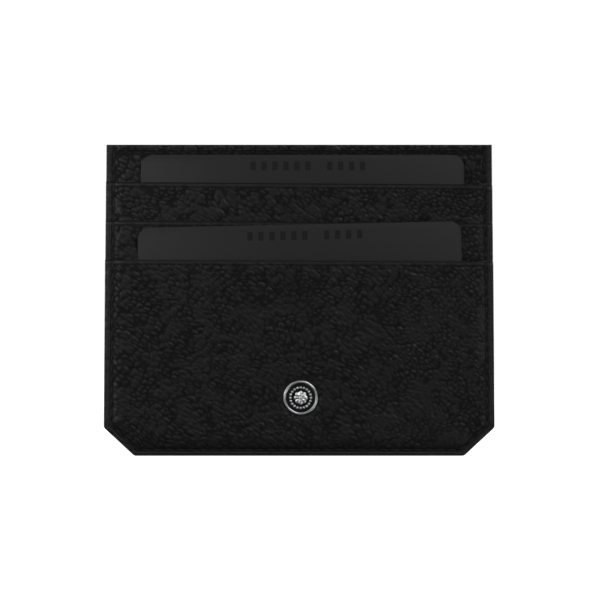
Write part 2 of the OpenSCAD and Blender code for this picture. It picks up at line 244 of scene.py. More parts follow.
def pressed(x, z, depth, sizes):
    """The depth at which a layer lies once the seam has pressed the rim together."""
    near = sum(np.exp(-np.clip(gap, 0, FAR_FROM_RIM) / RIM_BLEND) for gap in rim_gaps(x, z))
    gap = np.clip(-RIM_BLEND * np.log(near), 0, sizes.rim_reach)
    return depth * (1 - sizes.rim_pinch * (1 - smoothstep(gap / sizes.rim_reach)))


# ---- Leather grain ----

# Odd numbers that mix a cell's place into its random number, kept to 32 bits
MIX_X, MIX_Y, MIX_SEED, MIX_AGAIN, BITS = 374761393, 668265263, 974711, 1274126177, 0xFFFFFFFF
# How far a pebble's centre may lie from the middle of its cell, as a share of the cell
SCATTER = 0.86
# The hide's grain runs down to the right
GRAIN_TURN = math.radians(-36)
# Fine pebbles, and the slabs between the long folds, against a coarse pebble
FINE_PEBBLE, SLAB_LENGTH, SLAB_WIDTH = 0.84, 4.2, 1.9
FOLD_SHARPNESS = 0.085
PORE_HEIGHT = 0.012


def cell_value(ix, iy, seed):
    """A repeatable random number from 0 to 1 for each cell of a grid."""
    h = (ix.astype(np.int64) * MIX_X + iy.astype(np.int64) * MIX_Y + seed * MIX_SEED) & BITS
    h = ((h ^ (h >> 13)) * MIX_AGAIN) & BITS
    h = ((h ^ (h >> 15)) * MIX_Y) & BITS
    return ((h ^ (h >> 16)) & 0xFFFFFF) / 0xFFFFFF


def soft_noise(x, y, size, seed):
    """Slow noise from 0 to 1, with bumps about size millimetres apart."""
    x, y = x / size, y / size
    ix, iy = np.floor(x), np.floor(y)
    tx, ty = smoothstep(x - ix), smoothstep(y - iy)
    corner = [[cell_value(ix + i, iy + j, seed) for j in (0, 1)] for i in (0, 1)]
    low = corner[0][0] * (1 - tx) + corner[1][0] * tx
    high = corner[0][1] * (1 - tx) + corner[1][1] * tx
    return low * (1 - ty) + high * ty


def cells(x, y, seed):
    """Distances to the nearest and the second nearest of scattered cell centres."""
    ix, iy = np.floor(x), np.floor(y)
    first, second = np.full(x.shape, 9.0), np.full(x.shape, 9.0)
    for i in (-1, 0, 1):
        for j in (-1, 0, 1):
            cx = ix + i + 0.5 + SCATTER * (cell_value(ix + i, iy + j, seed) - 0.5)
            cy = iy + j + 0.5 + SCATTER * (cell_value(ix + i, iy + j, seed + 7) - 0.5)
            gap = np.hypot(x - cx, y - cy)
            second = np.minimum(second, np.maximum(first, gap))
            first = np.minimum(first, gap)
    return first, second


def hide(x, z, seed, sizes):
    """Height of the tumbled grain in millimetres, and its painted shade: how deep between pebbles
    each point lies.
    """

    def noise(size, draw):
        return soft_noise(x, z, size, seed + draw)

    # The hide's swirls bend the rows of pebbles, and a smaller jitter makes each one uneven
    px = x + 2.6 * (noise(9, 1) - 0.5) + 0.35 * (noise(1.3, 3) - 0.5)
    pz = z + 2.6 * (noise(9, 2) - 0.5) + 0.35 * (noise(1.3, 4) - 0.5)
    along = px * math.cos(GRAIN_TURN) + pz * math.sin(GRAIN_TURN)
    across = -px * math.sin(GRAIN_TURN) + pz * math.cos(GRAIN_TURN)
    # Coarser pebbles on the left, finer ones to the right, mixed where they meet
    coarse = smoothstep((noise(14, 41) - 0.9 * x / HALF_W - 0.05) / 0.35)
    gully_width = 0.24 + 0.22 * noise(5, 5)
    # Some valleys have been pressed shut, so that neighbouring pebbles run together
    open_share = 0.4 + 0.6 * smoothstep((noise(2.4, 61) - 0.2) / 0.45)
    height, valley = 0.0, 0.0
    for share, scale, draw in ((coarse, 1.0, 11), (1 - coarse, FINE_PEBBLE, 51)):
        first, second = cells(along / (scale * sizes.grain_length),
                              across / (scale * sizes.grain_width), seed + draw)
        gully = np.exp(-((second - first) / gully_width) ** 2) * open_share
        dome = 1 - np.clip(first, 0, 1) ** 2.5
        depth = 1.25 * dome - gully * (0.5 + 0.5 * noise(4, 6))
        height = height + share * sizes.grain_depth * depth
        valley = valley + share * gully
    # Long folds where the tumbling bent the hide: stronger on the left and towards the mouths
    worn = 0.62 - 0.3 * x / HALF_W + 0.22 * (z / HEIGHT - 0.4)
    patch = smoothstep((noise(11, 8) + worn - 0.55) / 0.45)
    near, next_near = cells(along / (SLAB_LENGTH * sizes.grain_length),
                            across / (SLAB_WIDTH * sizes.grain_width), seed + 21)
    fold = np.exp(-((next_near - near) / FOLD_SHARPNESS) ** 2) * patch
    height = height - sizes.fold_depth * fold + PORE_HEIGHT * (noise(0.55, 9) - 0.5)
    # Painted shade: the valleys between pebbles and the long folds darken the colour and dull it
    return height, np.clip(valley * 1.3 + 0.95 * fold, 0, 1)


# ---- Meshes ----

# How far down a panel's mouth is turned in, and the slope that ends the turned part
HEM, HEM_SLOPE = 1.15, 0.15
# A layer's back keeps one in so many of the fine rows of its front
BACK_ROWS = 12


def put(name, data):
    """A new object in the scene."""
    made = bpy.data.objects.new(name, data)
    bpy.context.scene.collection.objects.link(made)
    return made


def tube(rings, around, start=0):
    """The numbers of points that lie in closed rings."""
    grid = start + np.arange(rings * around).reshape(rings, around)
    return np.concatenate([grid, grid[:, :1]], 1)


def strips(grid):
    """The faces between neighbouring rows of numbered points."""
    return np.stack([grid[:-1, :-1], grid[:-1, 1:], grid[1:, 1:], grid[1:, :-1]],
                    -1).reshape(-1, 4).tolist()


def shut(rings):
    """The faces of closed rings and of their two ends."""
    return strips(rings) + [rings[end, :-1].tolist() for end in (0, -1)]


def fan(pole, ring):
    """The faces between a pole and a closed ring."""
    return [[pole, int(here), int(after)] for here, after in zip(ring, ring[1:])]


def at_depth(path, side, depth):
    """The points of a flat path of (x, z) at a depth on one side of the holder."""
    return np.stack([path[:, 0], MID_Y + side * depth, path[:, 1]], -1)


def finish_mesh(name, verts_mm, faces, finish, attributes=None, smooth=True, sharp=40):
    """A closed mesh object from points in millimetres, with its faces turned outwards."""
    mesh = bpy.data.meshes.new(name)
    mesh.from_pydata((np.array(verts_mm, float) * MM).tolist(), [], faces)
    for key, values in (attributes or {}).items():
        mesh.attributes.new(key, "FLOAT", "POINT").data.foreach_set(
            "value", np.asarray(values, np.float32))
    work = bmesh.new()
    work.from_mesh(mesh)
    bmesh.ops.recalc_face_normals(work, faces=work.faces[:])
    work.to_mesh(mesh)
    work.free()
    mesh.polygons.foreach_set("use_smooth", [smooth] * len(mesh.polygons))
    if smooth:
        mesh.set_sharp_from_angle(angle=math.radians(sharp))
    mesh.materials.append(finish)
    mesh.update()
    return put(name, mesh)


def settle(piece, slot, *nodes, body=BODY):
    """Puts a finished piece on its body, in the place of its CAD nodes."""
    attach(piece, body)
    if nodes:
        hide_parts(*nodes)


def row_heights(low, high, step):
    """Even rows from one height up to another, without a very narrow last one."""
    rows = list(np.arange(low, high, step))
    if rows and high - rows[-1] < step * 0.4:
        rows.pop()
    return rows


def layer(name, side, bottom, top, inner, outer, edge, finish, sizes, columns, step=1.7,
          fine_from=None, fine_step=None, lip=None, tilt=0.0, relief=None, round_mouth=True):
    """A sheet between two depths, closed all round, whose rim is pressed and whose mouth is round.

    edge is the half outline it is cut to, lip the depth its turned mouth reaches back to, and
    relief gives the height of the outer face, its painted shade, and its polish with a painted
    highlight.
    """
    back = inner if lip is None else lip
    radius = (outer - back) / 2 if round_mouth else 0.02
    last = top - radius
    fine_from = last if fine_from is None else min(fine_from, last)
    coarse = row_heights(bottom, fine_from, step)
    fine = row_heights(fine_from, last, fine_step) if fine_step else []
    rows = coarse + fine + [last]
    arc = [math.pi * k / CORNER_STEPS for k in range(1, CORNER_STEPS)] if round_mouth else []
    kept = sorted({*range(len(coarse)), *range(len(coarse), len(rows), BACK_ROWS), len(rows) - 1})
    back_rows = [rows[k] for k in reversed(kept)]
    hem = top if lip is None else top - HEM
    if lip is not None:
        back_rows = ([last, hem + HEM_SLOPE, hem]
                     + [z for z in back_rows if z < hem - 2 * HEM_SLOPE])
    middle = (outer + back) / 2
    profile_z = rows + [last + radius * math.sin(a) for a in arc] + back_rows
    profile_d = ([outer] * len(rows) + [middle + radius * math.cos(a) for a in arc]
                 + [back if z > hem else inner for z in back_rows])
    outer_share = [1.0] * len(rows) + [max(math.cos(a), 0) for a in arc] + [0.0] * len(back_rows)
    pz, pd, weight = (np.array(v)[:, None] for v in (profile_z, profile_d, outer_share))
    x = np.linspace(-1, 1, columns)[None, :] * np.interp(pz, edge[1:, 1], edge[1:, 0])
    z = pz + tilt * x * np.clip((pz - bottom) / (top - bottom), 0, 1) ** 2
    d = pressed(x, pz, pd, sizes)
    attributes = None
    if relief:
        height, valley, polish = relief(x, z)
        d = d + height * weight
        # The mouth's round edge is made matt and takes full painted shade, as the valleys do
        attributes = {"valley": (valley * weight + (1 - weight)).ravel(),
                      "polish": (polish * weight).ravel()}
    verts = np.stack([x, MID_Y + side * d, z], -1).reshape(-1, 3)
    grid = np.arange(len(profile_z) * columns).reshape(-1, columns)
    faces = strips(np.concatenate([grid, grid[:1]]))
    # The two cut side edges, a strip of polygons each, from back rows to the nearest front rows
    first_back = len(rows) + len(arc)
    spans = [(first_back + i, int(np.argmin(np.abs(np.array(rows) - row))))
             for i, row in enumerate(back_rows)]
    for column in (0, columns - 1):
        cap = grid[:, column].tolist()
        if arc:
            faces.append(cap[len(rows) - 1:first_back + 1])
        faces += [[cap[b0], cap[b1]] + cap[f1:f0 + 1]
                  for (b0, f0), (b1, f1) in zip(spans, spans[1:])]
    return finish_mesh(name, verts, faces, finish, attributes)


def pressed_copy(name, nodes, finish, sizes, longest=1.3):
    """CAD layers pressed at the rim as the leather over them is."""
    work = bmesh.new()
    for node_name in nodes:
        work.from_mesh(frame["nodes"][node_name].data)
    bmesh.ops.remove_doubles(work, verts=work.verts[:], dist=1e-7)
    # Nine halvings bring even the holder's full width below the longest edge
    for _ in range(9):
        long_edges = [e for e in work.edges if e.calc_length() > longest * MM]
        if not long_edges:
            break
        bmesh.ops.subdivide_edges(work, edges=long_edges, cuts=1)
        bmesh.ops.triangulate(work, faces=[f for f in work.faces if len(f.verts) > 3])
    co = np.array([v.co for v in work.verts]) / MM
    co[:, 1] = MID_Y + pressed(co[:, 0], co[:, 2], co[:, 1] - MID_Y, sizes)
    for vert, place in zip(work.verts, co):
        vert.co = place * MM
    mesh = bpy.data.meshes.new(name)
    work.to_mesh(mesh)
    work.free()
    mesh.materials.append(finish)
    return put(name, mesh)


# ---- Nodes ----

def add(tree, kind, inputs=None, **settings):
    """Adds a node and returns its outputs. An input takes a value, or the socket that feeds it."""
    made = tree.nodes.new(kind)
    for key, value in settings.items():
        setattr(made, key, value)
    for key, value in (inputs or {}).items():
        if isinstance(key, int):
            socket = made.inputs[key]
        else:
            socket = next(s for s in made.inputs if s.enabled and key in (s.identifier, s.name))
        if isinstance(value, bpy.types.NodeSocket):
            tree.links.new(value, socket)
        else:
            socket.default_value = value
    return made.outputs


def start_finish(name):
    """A new empty material, its tree and the place on the piece in its own coordinates."""
    made = bpy.data.materials.new(name)
    made.use_nodes = True
    made.node_tree.nodes.clear()
    return made, made.node_tree, add(made.node_tree, "ShaderNodeTexCoord")["Object"]


def end_finish(made, inputs):
    """Closes a material with its shader, whose inputs take constants or sockets."""
    surface = add(made.node_tree, "ShaderNodeBsdfPrincipled", inputs)[0]
    add(made.node_tree, "ShaderNodeOutputMaterial", {"Surface": surface})
    return made


def worked(made, pattern, tones, matt, relief, inputs):
    """Closes a material whose one pattern runs its colour, its roughness and its relief.

    tones and matt are the colours and roughnesses where the pattern is 0 and 1; relief is the
    height in millimetres and how strongly it shows.
    """
    tree = made.node_tree
    dye = add(tree, "ShaderNodeMix", {
        "Factor_Float": pattern, "A_Color": (*tones[0], 1), "B_Color": (*tones[1], 1)},
        data_type="RGBA")[COLOUR_OUT]
    dull = add(tree, "ShaderNodeMapRange", {
        "Value": pattern, "To Min": matt[0], "To Max": matt[1]})[0]
    raised = add(tree, "ShaderNodeBump", {
        "Height": pattern, "Distance": relief[0] * MM, "Strength": relief[1]})[0]
    return end_finish(made, {"Base Color": dye, "Roughness": dull, "Normal": raised, **inputs})


def tinted(tone, share):
    """A tone made that many times lighter or darker."""
    return [min(c * share, 1) for c in tone]


def material(name):
    """The finish of that name, made when it is first asked for."""
    return (bpy.data.materials.get(name)
            or FINISHES.get(name, noisy)(name, bpy.context.scene.holder_colours))


def per_mm(size):
    """A texture scale that gives details of that size in millimetres."""
    return 1 / (size * MM)


# The colour output of a mix node comes after its number and its vector
COLOUR_OUT = 2
# Typical index of refraction of paint, polyester and varnish; a leather finish is a little lower
ORGANIC_IOR, LEATHER_IOR = 1.5, 1.42


def tumbled_calf(name, colours):
    """Full-grain calf, drum dyed and tumbled until it pebbles, with a thin semi-matt finish:
    near-black pebbles with a soft shine on top, and duller valleys darkened by painted shade."""
    made, tree, place = start_finish(name)
    # The mesh carries where painted shade falls and where the burnished bands take a painted
    # highlight
    valley = add(tree, "ShaderNodeAttribute", attribute_name="valley")["Fac"]
    polish = add(tree, "ShaderNodeAttribute", attribute_name="polish")["Fac"]
    # The dye takes a little unevenly, in clouds of 16 mm
    dye = add(tree, "ShaderNodeTexNoise", {"Vector": place, "Scale": per_mm(16), "Detail": 3.0})[0]
    # Dye between its lighter and its darker tone, then painted shade in the valleys, grooves and
    # creases, then the burnished edges, drawn lighter as burnishing and as a painted highlight
    light, burnish_and_highlight = tinted(colours.leather, 1.25), tinted(colours.leather, 1.6)
    tone = (*tinted(colours.leather, 0.85), 1)
    for factor, towards in ((dye, light), (valley, colours.valley), (polish, burnish_and_highlight)):
        tone = add(tree, "ShaderNodeMix", {
            "Factor_Float": factor, "A_Color": tone, "B_Color": (*towards, 1)},
            data_type="RGBA")[COLOUR_OUT]
    # Pores of the hide are about 0.1 mm; drawn at 0.3 mm, the finest that still shows
    pores = add(tree, "ShaderNodeTexNoise", {
        "Vector": place, "Scale": per_mm(0.3), "Detail": 3.0, "Roughness": 0.6})[0]
    matt = add(tree, "ShaderNodeMapRange", {"Value": valley, "To Min": 0.27, "To Max": 0.8})[0]
    dull = add(tree, "ShaderNodeMath", {0: pores, 1: 0.14, 2: matt}, operation="MULTIPLY_ADD")[0]
    raised = add(tree, "ShaderNodeBump", {
        "Height": pores, "Distance": 0.02 * MM, "Strength": 0.5})[0]
    return end_finish(made, {"Base Color": tone, "Roughness": dull, "Normal": raised,
                             "IOR": LEATHER_IOR})


def bonded_thread(name, colours):
    """Bonded polyester thread, three plies twisted and waxed: matt black with a slanted twist."""
    made, tree, place = start_finish(name)
    # The plies are about 0.15 mm apart; drawn at 0.35 mm, the finest that still shows
    twist = add(tree, "ShaderNodeTexWave", {
        "Vector": place, "Scale": per_mm(0.35) / math.tau, "Distortion": 0.6},
        bands_direction="DIAGONAL")[1]
    return worked(made, twist, (tinted(colours.thread, 0.5), colours.thread), (0.72, 0.64),
                  (0.05, 0.7), {"IOR": ORGANIC_IOR})


def fine_twill(name, colours):
    """Black polyester twill, woven at about 30 threads a centimetre: fine diagonal ribs with a
    slight sheen."""
    made, tree, place = start_finish(name)
    # Ribs every 0.33 mm, drawn at 0.5 mm
    ribs = add(tree, "ShaderNodeTexWave", {
        "Vector": place, "Scale": per_mm(0.5) / math.tau, "Distortion": 0.4},
        bands_direction="DIAGONAL")[1]
    picks = add(tree, "ShaderNodeTexNoise", {"Vector": place, "Scale": per_mm(0.6)})[0]
    cloth = add(tree, "ShaderNodeMath", {0: ribs, 1: picks}, operation="MULTIPLY")[0]
    return worked(made, cloth, (colours.twill, tinted(colours.twill, 1.6)), (0.76, 0.68),
                  (0.06, 0.8), {"IOR": ORGANIC_IOR, "Sheen Weight": 0.25})


def woven_tape(name, colours):
    """Plain-woven cotton tape with adhesive: grey with a fine chequered weave."""
    made, tree, place = start_finish(name)
    weave = add(tree, "ShaderNodeTexChecker", {"Vector": place, "Scale": per_mm(0.4)})[1]
    fuzz = add(tree, "ShaderNodeTexNoise", {
        "Vector": place, "Scale": per_mm(0.3), "Detail": 3.0})[0]
    cloth = add(tree, "ShaderNodeMath", {0: weave, 1: fuzz}, operation="MULTIPLY")[0]
    return worked(made, cloth, (tinted(colours.tape, 0.6), colours.tape), (0.8, 0.7),
                  (0.04, 0.6), {"IOR": ORGANIC_IOR})


def studio_paper(name, colours):
    """Seamless white background paper, lit until it is almost pure white."""
    made, tree, place = start_finish(name)
    fibre = add(tree, "ShaderNodeTexNoise", {"Vector": place, "Scale": per_mm(30)})[0]
    return worked(made, fibre, (tinted(colours.paper, 0.3), tinted(colours.paper, 0.32)),
                  (0.9, 0.95), (0.05, 0.1),
                  {"Emission Color": (*colours.paper, 1), "Emission Strength": 1.06,
                   "Specular IOR Level": 0.0})


FINISHES = {
    "tumbled_calf_leather": tumbled_calf, "bonded_thread": bonded_thread,
    "fine_twill_lining": fine_twill, "woven_bonding_tape": woven_tape,
    "studio_paper": studio_paper,
}
# Finishes run by one noise: the colour and its shares where the noise is 0 and 1; the noise's
# size in millimetres, detail and roughness; the surface's roughness where it is 0 and 1; the
# relief's height in millimetres and strength; and the shader's other inputs
NOISY_FINISHES = {
    # Acrylic edge paint, rolled on in coats and sanded between: smooth, satin, faint ripples
    "satin_edge_paint": ("rim", (1, 1.4), (1.6, 3, 0.5), (0.32, 0.5), (0.05, 0.6),
                         {"IOR": ORGANIC_IOR}),
    # Board pressed from ground leather fibres: dull brown with matted flecks
    "bonded_leather_board": ("board", (0.5, 1), (0.7, 5, 0.65), (0.85, 0.75), (0.05, 0.7),
                             {"IOR": ORGANIC_IOR}),
    # The leather's flesh side, pared thin for the rim: dark, fibrous and matt
    "skived_leather": ("raw", (0.4, 1), (0.45, 5, 0.7), (0.9, 0.8), (0.08, 0.8),
                       {"IOR": ORGANIC_IOR}),
    # Zinc alloy, cast, satin finished and plated to a palladium look: soft grey shine with
    # hairline wear. Hairlines of 0.02 mm, drawn at 0.25 mm
    "plated_metal": ("metal", (0.86, 1), (0.25, 4, 0.6), (0.27, 0.43), (0.006, 0.5),
                     {"Metallic": 1.0}),
    # The plated ground, etched and blackened so that the raised work stands out: dull, grainy
    "darkened_metal_ground": ("ground", (0.5, 1), (0.22, 3, 0.7), (0.45, 0.7), (0.02, 0.8),
                              {"Metallic": 1.0}),
    # Rigid card, offset printed in black and matt varnished: even dark grey with a dry haze.
    # Tooth of the varnish, about 0.1 mm, drawn at 0.25 mm, as on the ink
    "printed_card": ("card", (1, 1.12), (0.25, 2, 0.6), (0.54, 0.62), (0.006, 0.35),
                     {"IOR": ORGANIC_IOR, "Specular IOR Level": 0.4}),
    # A second, denser pass of black ink on the card: darker and slightly duller
    "card_ink": ("ink", (1, 1.3), (0.25, 2, 0.6), (0.6, 0.72), (0.004, 0.3),
                 {"IOR": ORGANIC_IOR, "Specular IOR Level": 0.3}),
}


def noisy(name, colours):
    """One of the finishes that a single noise runs."""
    key, shares, (size, detail, rough), matt, relief, inputs = NOISY_FINISHES[name]
    made, tree, place = start_finish(name)
    noise = add(tree, "ShaderNodeTexNoise", {
        "Vector": place, "Scale": per_mm(size), "Detail": detail, "Roughness": rough})[0]
    tones = [tinted(getattr(colours, key), share) for share in shares]
    return worked(made, noise, tones, matt, relief, inputs)


# ---- Geometry Nodes ----

SOCKETS = {int: "NodeSocketInt", float: "NodeSocketFloat",
           bpy.types.Material: "NodeSocketMaterial"}


def tree_with(name, values, takes_geometry=True):
    """A Geometry Nodes tree with one named input for each value, and one geometry output."""
    tree = bpy.data.node_groups.new(name, "GeometryNodeTree")
    socket = tree.interface.new_socket
    socket("Geometry", in_out="OUTPUT", socket_type="NodeSocketGeometry")
    if takes_geometry:
        socket("Geometry", in_out="INPUT", socket_type="NodeSocketGeometry")
    for key, value in values.items():
        kind = next(SOCKETS[of] for of in SOCKETS if isinstance(value, of))
        socket(key, in_out="INPUT", socket_type=kind).default_value = value
    return tree, add(tree, "NodeGroupInput")


def close_tree(tree, given, geometry):
    """Ends a tree in real geometry with its material."""
    real = add(tree, "GeometryNodeRealizeInstances", {"Geometry": geometry})[0]
    dressed = add(tree, "GeometryNodeSetMaterial", {
        "Geometry": real, "Material": given["Material"]})[0]
    add(tree, "NodeGroupOutput", {"Geometry": dressed})


def run_tree(lay_out, guide, name, values):
    """Runs a tree, laid out at its first use, on an object and returns a plain mesh object."""
    tree = bpy.data.node_groups.get(lay_out.__name__) or lay_out(values)
    modifier = guide.modifiers.new("build", "NODES")
    modifier.node_group = tree
    for item in tree.interface.items_tree:
        if item.in_out == "INPUT" and item.name in values:
            modifier[item.identifier] = values[item.name]
    bpy.context.view_layer.update()
    ready = guide.evaluated_get(bpy.context.evaluated_depsgraph_get())
    mesh = bpy.data.meshes.new_from_object(ready)
    mesh.name = name
    guide.modifiers.remove(modifier)
    bpy.data.objects.remove(guide)
    return put(name, mesh)


def seam_stitches(values):
    """Stitches along a path: each is a short bowed thread whose ends dip into the leather."""
    tree, given = tree_with("seam_stitches", values)
    start, end = (add(tree, "ShaderNodeCombineXYZ", {"X": given[key]})[0]
                  for key in ("Stitch start", "Stitch end"))
    line = add(tree, "GeometryNodeCurvePrimitiveLine", {"Start": start, "End": end})[0]
    line = add(tree, "GeometryNodeResampleCurve", {"Curve": line, "Count": 6})[0]
    along = add(tree, "GeometryNodeSplineParameter")["Factor"]
    centred = add(tree, "ShaderNodeMath", {0: along, 1: 2.0, 2: -1.0},
                  operation="MULTIPLY_ADD")[0]
    square = add(tree, "ShaderNodeMath", {0: centred, 1: centred}, operation="MULTIPLY")[0]
    lift = add(tree, "ShaderNodeMath", {0: square, 1: given["End lift"]}, operation="MULTIPLY")[0]
    offset = add(tree, "ShaderNodeCombineXYZ", {"Z": lift})[0]
    bowed = add(tree, "GeometryNodeSetPosition", {"Geometry": line, "Offset": offset})[0]
    # A stitch's ends are a little over half as thick as its middle
    taper = add(tree, "ShaderNodeMath", {0: square, 1: -0.45, 2: 1.0},
                operation="MULTIPLY_ADD")[0]
    shaped = add(tree, "GeometryNodeSetCurveRadius", {"Curve": bowed, "Radius": taper})[0]
    ring = add(tree, "GeometryNodeCurvePrimitiveCircle", {
        "Resolution": 7, "Radius": given["Thread radius"]})[0]
    stitch = add(tree, "GeometryNodeCurveToMesh", {
        "Curve": shaped, "Profile Curve": ring, "Fill Caps": True})[0]
    path = add(tree, "GeometryNodeResampleCurve", {
        "Curve": given["Geometry"], "Length": given["Pitch"]}, mode="LENGTH")[0]
    holes = add(tree, "GeometryNodeCurveToPoints", {"Curve": path}, mode="EVALUATED")
    lie = add(tree, "FunctionNodeAlignRotationToVector", {"Vector": holes["Tangent"]}, axis="X")[0]
    normal = add(tree, "ShaderNodeCombineXYZ", {"Y": given["Outwards"]})[0]
    upright = add(tree, "FunctionNodeAlignRotationToVector", {"Rotation": lie, "Vector": normal},
                  axis="Z", pivot_axis="X")[0]
    slant = add(tree, "FunctionNodeAxisAngleToRotation", {
        "Axis": (0, 0, 1), "Angle": given["Slant"]})[0]
    turned_to = add(tree, "FunctionNodeRotateRotation", {"Rotation": upright, "Rotate By": slant},
                    rotation_space="LOCAL")[0]
    placed = add(tree, "GeometryNodeInstanceOnPoints", {
        "Points": holes["Points"], "Instance": stitch, "Rotation": turned_to})[0]
    close_tree(tree, given, placed)
    return tree


def bead_ring(values):
    """A ring of small round beads that faces along Y."""
    tree, given = tree_with("bead_ring", values, takes_geometry=False)
    ring = add(tree, "GeometryNodeMeshCircle", {
        "Vertices": given["Beads"], "Radius": given["Ring radius"]})[0]
    bead = add(tree, "GeometryNodeMeshUVSphere", {
        "Segments": 10, "Rings": 7, "Radius": given["Bead radius"]})[0]
    soft = add(tree, "GeometryNodeSetShadeSmooth", {"Geometry": bead})[0]
    beads = add(tree, "GeometryNodeInstanceOnPoints", {"Points": ring, "Instance": soft})[0]
    place = add(tree, "ShaderNodeCombineXYZ", {key: given[key] for key in "XYZ"})[0]
    faced = add(tree, "GeometryNodeTransform", {
        "Geometry": beads, "Translation": place, "Rotation": (math.pi / 2, 0, 0)})[0]
    close_tree(tree, given, faced)
    return tree


# How far a stitch's ends dip into their holes, and its turn against the seam in radians
STITCH_DIP, STITCH_SLANT = 0.22, 0.1


def stitched(name, side, paths, sizes, node_name):
    """Runs the stitch tree along paths of points in millimetres."""
    curve = bpy.data.curves.new(name, "CURVE")
    curve.dimensions = "3D"
    for path in paths:
        spline = curve.splines.new("POLY")
        spline.points.add(len(path) - 1)
        for point, place in zip(spline.points, path):
            point.co = (*(np.array(place) * MM), 1)
    half = (sizes.stitch_pitch - sizes.stitch_gap) * MM * 0.5
    made = run_tree(seam_stitches, put(name + "_guide", curve), name, {
        "Pitch": sizes.stitch_pitch * MM, "Stitch start": -half, "Stitch end": half,
        "Thread radius": sizes.thread * MM * 0.5, "End lift": -STITCH_DIP * MM,
        "Outwards": float(side), "Slant": STITCH_SLANT * side,
        "Material": material("bonded_thread")})
    made.data.polygons.foreach_set("use_smooth", [True] * len(made.data.polygons))
    settle(made, "black_thread", node_name)


# ---- The leather layers ----

# The hand-cut mouths run down slightly to the right: rise in millimetres a millimetre
MOUTH_TILT = {"upper_pocket": -0.0072, "middle_pocket": -0.0072, "lower_pocket": -0.005,
              "panel": 0.0}
BADGE = box_mm("badge_ground")
BADGE_X, _, BADGE_Z = (BADGE[0] + BADGE[1]) / 2
BADGE_R = (box_mm("badge_bezel")[1][0] - box_mm("badge_bezel")[0][0]) / 2
POCKETS = ("upper_pocket", "middle_pocket", "lower_pocket")
# Gap between the outline and the leather's own cut edge, which the edge paint fills
CUT_BACK = 0.2
# How far the finely meshed part of a leather runs on below the mouth that covers it
SHOWN_BELOW = 1.6
# Half width of the creased line, and of the painted shade line along a mouth
LINE_WIDTH = 0.26
# How far the linings' edges lie inside the outline, and how softly they are cut
LINING_IN, LINING_FOOT_IN, LINING_CORNER = 0.25, 3.4, 0.8
CLOTH_THICKNESS = 0.15


def seam_dip(x, z, sizes):
    """How far the perimeter seam pulls the leather in, from 0 to 1, and the distance to it."""
    side, cut, foot = rim_gaps(x, z)
    mean = (sizes.side_seam + sizes.foot_seam) / 2
    gap = np.minimum(np.minimum(side - sizes.side_seam, cut - mean), foot - sizes.foot_seam)
    return np.exp(-(gap / sizes.groove_width) ** 2), gap


def leather_relief(side, part, top, seed, sizes):
    """Gives a leather layer its seam grooves, creased mouth, grain, waves, dimples, painted shade
    and highlight.
    """
    pocket = part != "panel"
    # A panel has a seam below its mouth, a pocket a creased line
    line_in, line_depth, line_width = (
        (sizes.crease_in, sizes.crease_depth, LINE_WIDTH) if pocket
        else (sizes.mouth_seam, sizes.groove_depth, sizes.groove_width * 1.1))

    def relief(x, z):
        dip, gap = seam_dip(x, z, sizes)
        inside = smoothstep(gap / 1.6)
        below = top + MOUTH_TILT[part] * x - z
        line = (np.exp(-((below - line_in) / line_width) ** 2)
                * smoothstep((gap + 0.3) / 0.8))
        # Above its crease a pocket is burnished nearly smooth and drawn lighter, partly as a
        # painted highlight, with a painted shade line along its top edge
        burnish_and_highlight = pocket * (1 - smoothstep((below - line_in * 0.62) / 0.4))
        mouth_shade_line = pocket * (1 - smoothstep((below - LINE_WIDTH) / 0.24))
        grain, valley = hide(x, z, seed, sizes)
        amount = 1 - 0.72 * burnish_and_highlight
        amount = amount * (1 - 0.6 * dip) * (0.45 + 0.55 * smoothstep((gap + 1.1) / 1.2))
        waves = soft_noise(x, z, 17, seed + 31) + 0.5 * soft_noise(x, z, 8, seed + 32) - 0.75
        # The leather swells a little beside the seam
        puff = 0.045 * inside * (1 - smoothstep((gap - 1.6) / 6))
        height = amount * grain + sizes.wave_depth * waves * inside + puff
        if part == "lower_pocket" and side == FRONT:
            # The badge presses its surroundings smooth and sits in a shallow dimple
            away = np.hypot(x - BADGE_X, z - BADGE_Z) - BADGE_R
            height = height * smoothstep((away - 0.1) / 1.4)
            height = height - 0.14 * np.exp(-((away - 0.15) / 0.5) ** 2)
            height = np.where(away < -0.25, 0, height)
        height = height - sizes.groove_depth * dip - line_depth * line
        # The burnished band under a mouth and the strip outside the seam are drawn lighter, for
        # burnishing and as a painted highlight
        polish = np.clip(0.8 * burnish_and_highlight + 0.5 * (1 - smoothstep(gap / 0.8 + 1.6)), 0, 1)
        # Painted shade: valleys, the seam groove, the creased line and the line along a mouth
        # darken it
        return (height, np.clip(valley * amount + 0.95 * dip + line + mouth_shade_line, 0, 1),
                polish * (1 - mouth_shade_line))

    return relief


class CARDHOLDER_OT_leather(bpy.types.Operator):
    """Builds the panels and the pocket leathers, front and rear"""

    bl_idname = "cardholder.leather"
    bl_label = "Leather layers"

    def execute(self, context):
        sizes = in_mm(context.scene.holder_sizes)
        columns = int(round(2 * HALF_W / sizes.mesh_step)) + 1
        edge = outline(CUT_BACK, CUT_BACK, sizes.rim_radius - CUT_BACK)
        parts = ("panel",) + POCKETS
        for k, (which, side) in enumerate(SIDES.items()):
            for n, part in enumerate(parts):
                node_name = f"{which}_{part}"
                low, high = box_mm(node_name)
                # Only what shows above the next pocket's mouth is meshed finely
                covered = (mouth(f"{which}_{parts[n + 1]}") - SHOWN_BELOW if n < len(POCKETS)
                           else CUT_BACK)
                piece = layer(
                    f"{node_name}_leather", side, max(low[2] - 0.05, CUT_BACK), high[2],
                    *depths(node_name), edge, material("tumbled_calf_leather"), sizes, columns,
                    fine_from=covered, fine_step=sizes.mesh_step,
                    lip=depths(f"{which}_stiffener")[0] if part == "panel" else None,
                    tilt=MOUTH_TILT[part],
                    relief=leather_relief(side, part, high[2], 100 * k + 17 * n, sizes))
                settle(piece, "black_leather", node_name)
        return {"FINISHED"}


